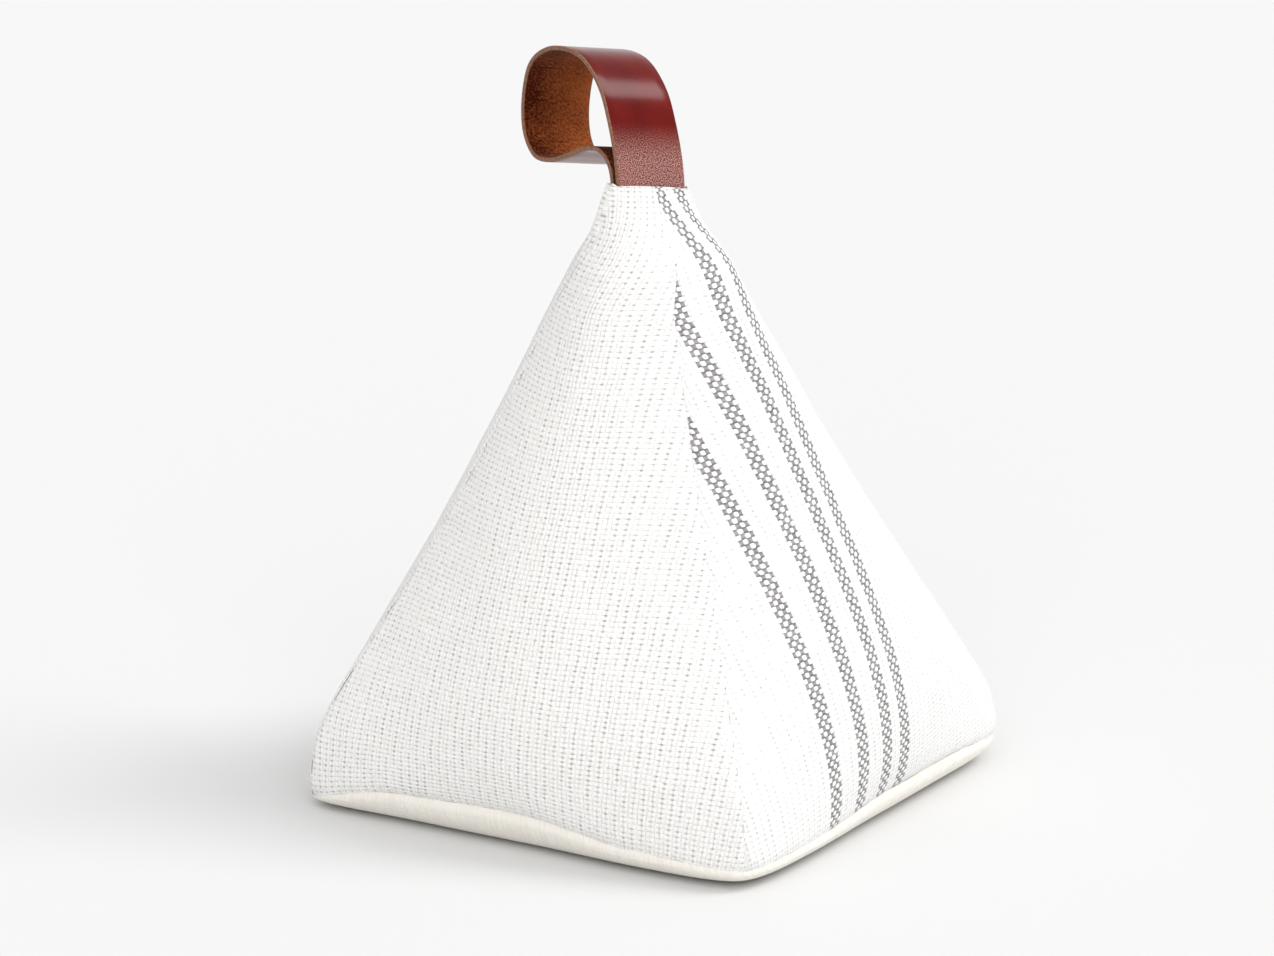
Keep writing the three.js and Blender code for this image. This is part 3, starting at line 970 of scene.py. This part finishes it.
    def build_base(self, cloth: Material) -> None:
        """Makes the base cloth.

        Args:
            cloth: Its material.
        """
        points, flat = self.base_points()
        base = grid_mesh("base_panel_cloth", points, flat, loop=True)
        base.data.materials.append(cloth)
        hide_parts("base_panel")
        log.info("%s: %d points", base.name, len(base.data.vertices))


# The strap


@dataclass
class StrapLoop:
    """One leather strap, bent into a loop, with both ends caught in the closed top."""

    shape: BodyShape = field(default_factory=BodyShape)
    width: float = 25
    thickness: float = 1.45
    edge_radius: float = 0.5
    tail_length: float = 18
    tail_gap: float = 1.45
    reach: float = 52
    rise: float = 37
    steps: int = 260
    flat_lines: int = 9
    ripple_size: float = 17
    ripple_height: float = 0.25
    outline: tuple[tuple[float, float], ...] = (
        (0.004, 0.24), (0.06, 0.49), (0.146, 0.73), (0.30, 0.92), (0.48, 0.985), (0.71, 0.95), (0.90, 0.78),
        (0.975, 0.46), (0.955, 0.18), (0.86, 0.03), (0.70, 0.02), (0.51, 0.10), (0.30, 0.205), (0.16, 0.215),
        (0.07, 0.14),
    )

    def middle_line(self) -> tuple[np.ndarray, np.ndarray]:
        """Lays out the strap's middle line in its own plane.

        Returns:
            Points and unit tangents at even lengths: x out behind the top, y up from the top edge.
        """
        tail = (self.thickness + self.tail_gap) / 2
        start = [(-tail, -self.tail_length), (-tail, -self.tail_length / 2), (-tail, 0)]
        end = [(tail, 0), (tail, -self.tail_length / 2), (tail, -self.tail_length)]
        knots = np.array([*start, *[(x * self.reach, y * self.rise) for x, y in self.outline], *end], float)
        knots = np.concatenate([[knots[0] * 2 - knots[1]], knots, [knots[-1] * 2 - knots[-2]]])
        pieces = []
        for i in range(1, len(knots) - 2):
            before, here, there, after = knots[i - 1 : i + 3]
            steps = (here - before, there - here, after - there)
            first, span, last = (math.sqrt(np.linalg.norm(step)) for step in steps)
            leave = (here - before) / first - (there - before) / (first + span) + (there - here) / span
            arrive = (there - here) / span - (after - here) / (span + last) + (after - there) / last
            leave, arrive = leave * span, arrive * span
            t = np.linspace(0, 1, 60, endpoint=False)[:, None]
            cubic = (2 * here - 2 * there + leave + arrive) * t**3
            pieces.append(cubic + (3 * there - 3 * here - 2 * leave - arrive) * t**2 + leave * t + here)
        line = np.concatenate([*pieces, knots[-2:-1]])
        lengths = np.concatenate([[0], np.cumsum(np.linalg.norm(np.diff(line, axis=0), axis=1))])
        even = np.linspace(0, lengths[-1], self.steps + 1)
        line = np.column_stack([np.interp(even, lengths, line[:, 0]), np.interp(even, lengths, line[:, 1])])
        tangent = np.gradient(line, axis=0)
        return line, tangent / np.linalg.norm(tangent, axis=1, keepdims=True)

    def section(self) -> tuple[np.ndarray, list[Side]]:
        """Draws the strap's section, a slab with rounded edges.

        Returns:
            Places across and through the strap, and the surface that follows each.
        """
        radius = self.edge_radius
        wide, thick = self.width / 2 - radius, self.thickness / 2 - radius
        flat = np.linspace(-1, 1, self.flat_lines)

        def bend(x: float, y: float, angles: tuple[int, ...]) -> list[tuple[float, float]]:
            """Places of a rounded edge about its centre, at each angle in degrees."""
            turns = [math.radians(angle) for angle in angles]
            return [(x + radius * math.cos(turn), y + radius * math.sin(turn)) for turn in turns]

        places = [(wide * share, self.thickness / 2) for share in flat]
        places += bend(wide, thick, (60, 30, 0)) + bend(wide, -thick, (0, -30, -60))
        places += [(wide * share, -self.thickness / 2) for share in -flat]
        places += bend(-wide, -thick, (-120, -150, -180)) + bend(-wide, thick, (180, 150, 120))
        sides = [Side.FINISHED] * len(flat) + [Side.EDGE] * 6
        sides += [Side.SUEDE] * (len(flat) - 1) + [Side.EDGE] * 7
        return np.array(places), sides

    def build(self, finished: Material, suede: Material, edge: Material) -> None:
        """Makes the strap.

        Args:
            finished: The glossy outside.
            suede: The raw inside.
            edge: The cut edges.
        """
        shape = self.shape
        line, tangent = self.middle_line()
        places, sides = self.section()
        cos, sin = math.cos(shape.strap_direction), math.sin(shape.strap_direction)
        dip = shape.strap_roll
        across = np.array([cos * math.cos(dip), sin * math.cos(dip), -math.sin(dip)])
        behind = np.array([-sin, cos, 0.0])
        up = np.array([0.0, 0.0, 1.0])
        centre = shape.root() + np.outer(line[:, 0], behind) + np.outer(line[:, 1], up)
        outward = np.outer(-tangent[:, 1], behind) + np.outer(tangent[:, 0], up)
        # The strap's faces ripple a little along its length, as a bent hide does
        ripple = wander(np.column_stack([line, np.zeros(len(line))]), self.ripple_size, seed=5.1)
        free = smoothstep(line[:, 1], 0, 8)
        points = centre[:, None] + places[None, :, :1] * across
        through = places[None, :, 1] + (self.ripple_height * ripple * free)[:, None]
        points = points + through[..., None] * outward[:, None]
        around = np.concatenate([[0], np.cumsum(np.linalg.norm(np.diff(places, axis=0), axis=1))])
        total = np.linalg.norm(np.diff(line, axis=0), axis=1).sum()
        lengths = np.linspace(0, total, self.steps + 1)
        flat = np.stack(np.broadcast_arrays(around[None, :], lengths[:, None]), axis=-1)
        strap = grid_mesh("leather_strap_loop", points, flat, loop=True)
        for material in (finished, suede, edge):
            strap.data.materials.append(material)
        slots = np.tile([side.value for side in sides], self.steps)
        strap.data.polygons.foreach_set("material_index", slots)
        self._close_ends(strap, len(places))
        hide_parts("leather_loop")
        log.info("%s: %.0f mm of strap, %d points", strap.name, total, len(strap.data.vertices))

    def _close_ends(self, strap: Object, around: int) -> None:
        """Closes the strap's two cut ends, which are hidden in the top.

        Args:
            strap: The strap.
            around: How many points its section has.
        """
        work = bmesh.new()
        work.from_mesh(strap.data)
        work.verts.ensure_lookup_table()
        last = len(work.verts) - around
        for ring, backwards in ((range(around), True), (range(last, last + around), False)):
            corners = [work.verts[i] for i in ring]
            end = work.faces.new(corners[::-1] if backwards else corners)
            end.material_index = Side.EDGE.value
        work.normal_update()
        work.to_mesh(strap.data)
        work.free()


# The studio


@dataclass
class Studio:
    """A pale floor, one large soft key lamp from the upper right, soft fill, and the camera."""

    azimuth: float = 31.6
    elevation: float = 14.5
    distance: float = 1500
    aim_height: float = 100
    lens: float = 137.8
    shift_x: float = -0.0161
    shift_y: float = -0.0063
    floor_half: float = 9000
    floor_lines: int = 25
    floor_drop: float = 0.05
    walls: float = 0.36
    ceiling: float = 0.8
    ceiling_from: float = 0.6
    sweep_light: float = 0.95
    sweep_from: float = 0.35
    sweep_to: float = 0.85
    backdrop: str = "F7F7F7"

    def direction(self, azimuth: float, elevation: float) -> Vector:
        """Turns the views' angles into a direction.

        Args:
            azimuth: Degrees round from the front.
            elevation: Degrees up.

        Returns:
            The unit direction from the object towards a lamp or the camera.
        """
        turn, lift = math.radians(azimuth), math.radians(elevation)
        return Vector((math.sin(turn) * math.cos(lift), -math.cos(turn) * math.cos(lift), math.sin(lift)))

    def build_camera(self) -> None:
        """Places the camera at the photograph's angle."""
        camera = add_object("camera", bpy.data.cameras.new("camera"))
        back = self.direction(self.azimuth, self.elevation)
        camera.location = Vector((0, 0, self.aim_height * MM)) + back * self.distance * MM
        camera.rotation_mode = "QUATERNION"
        camera.rotation_quaternion = (-back).to_track_quat("-Z", "Y")
        camera.data.lens = self.lens
        camera.data.shift_x = self.shift_x
        camera.data.shift_y = self.shift_y
        camera.data.clip_end = 50
        bpy.context.scene.camera = camera

    def add_sun(self, name: str, azimuth: float, elevation: float, strength: float, softness: float) -> None:
        """Adds a soft lamp that lights the whole floor evenly.

        Args:
            name: Name of the lamp.
            azimuth: Where it stands, in the views' degrees.
            elevation: How high it stands, in degrees.
            strength: Light on a surface that faces it.
            softness: Width of the lamp as seen from the object, in degrees.
        """
        data = bpy.data.lights.new(name, "SUN")
        data.energy = strength
        data.angle = math.radians(softness)
        lamp = add_object(name, data)
        lamp.rotation_mode = "QUATERNION"
        lamp.rotation_quaternion = self.direction(azimuth, elevation).to_track_quat("Z", "Y")

    def build_world(self) -> None:
        """Makes the soft light from all round, and the background that the camera sees."""
        world = bpy.data.worlds.new("studio")
        world.use_nodes = True
        world.node_tree.nodes.clear()
        add = partial(add_node, world.node_tree)
        ray = add("LightPath")
        seen = add("Background", {"Color": linear(self.backdrop), "Strength": 1.0})
        way = add("TexCoord")
        split = add("SeparateXYZ", {0: way.outputs["Generated"]})
        up = split.outputs["Z"]
        inputs = {0: up, 1: 0.0, 2: self.ceiling_from, 3: self.walls, 4: self.ceiling}
        room = add("MapRange", inputs)
        # The lit paper behind the object is bright down to the horizon, the room in front is not
        away = split.outputs["Y"]
        inputs = {0: away, 1: self.sweep_from, 2: self.sweep_to, 3: 0.0, 4: self.sweep_light}
        sweep = add("MapRange", inputs)
        around = add("Math", {0: room, 1: sweep}, operation="MAXIMUM")
        light = add("Background", {"Color": (1, 1, 1, 1), "Strength": around})
        both = add("MixShader", {0: ray.outputs["Is Camera Ray"], 1: light, 2: seen})
        add("OutputWorld", {"Surface": both})
        bpy.context.scene.world = world

    def build_floor(self, paper: Material) -> None:
        """Lays the floor paper out under the object.

        Args:
            paper: Its material.
        """
        line = np.linspace(-self.floor_half, self.floor_half, self.floor_lines)
        across, away = np.meshgrid(line, line)
        points = np.stack([across, away, np.full_like(across, -self.floor_drop)], axis=-1)
        mesh = bpy.data.meshes.new("floor_paper")
        faces = quads(np.arange(across.size).reshape(across.shape))
        mesh.from_pydata((points.reshape(-1, 3) * MM).tolist(), [], faces.tolist())
        mesh.materials.append(paper)
        add_object("floor_paper", mesh)

    def build(self) -> None:
        """Sets up the floor, the light, the camera and the plain view."""
        self.build_camera()
        self.build_world()
        self.add_sun("key_softbox", 124, 48, 1.4, 28)
        self.add_sun("front_fill", 33, 38, 1.15, 60)
        self.build_floor(StudioPaper().build())
        bpy.context.scene.view_settings.view_transform = "Standard"
        log.info("studio: camera at %.1f degrees round, %.1f up", self.azimuth, self.elevation)


def main() -> None:
    """Builds the door stop and its studio, and reports each piece."""
    logging.basicConfig(level=logging.INFO, format="%(name)s: %(message)s")
    # For each cloth: yarn colour, the darker colour painted on low streaks as shade, and the painted shade in
    # the pits
    plain = WovenCloth("plain_woven_slub_cotton", "FCFAF8", "F2F0ED", "B4B2AE")
    striped = WovenCloth(
        "striped_plain_woven_cotton", "F3F2F1", "EEEDEB", "C0BEBB", skew=0.16, relief=0.22, pit_depth=0.7,
        stripes=((-26, 4), (-16, 4), (-7, 4), (0, 4)),
    )
    canvas = WovenCloth(
        "close_woven_cotton_canvas", "F7F4EC", "F1ECE2", "D8D0C2",
        warp_spacing=0.9, weft_spacing=0.9, relief=0.1, pit_depth=0.35,
    )
    calico = WovenCloth("calico_inner_bag", "D9D0BE", "CBC1AD", "9C927F", warp_spacing=0.8, weft_spacing=0.8)
    body = ClothBody()
    body.build_sides(plain.build(), striped.build())
    body.build_base(canvas.build())
    StrapLoop().build(GlazedLeather().build(), SuedeLeather().build(), CutLeatherEdge().build())
    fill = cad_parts["weighted_fill"]
    fill.data.materials.clear()
    fill.data.materials.append(calico.build())
    log.info("weighted_fill: calico inner bag")
    Studio().build()


if __name__ == "__main__":
    main()
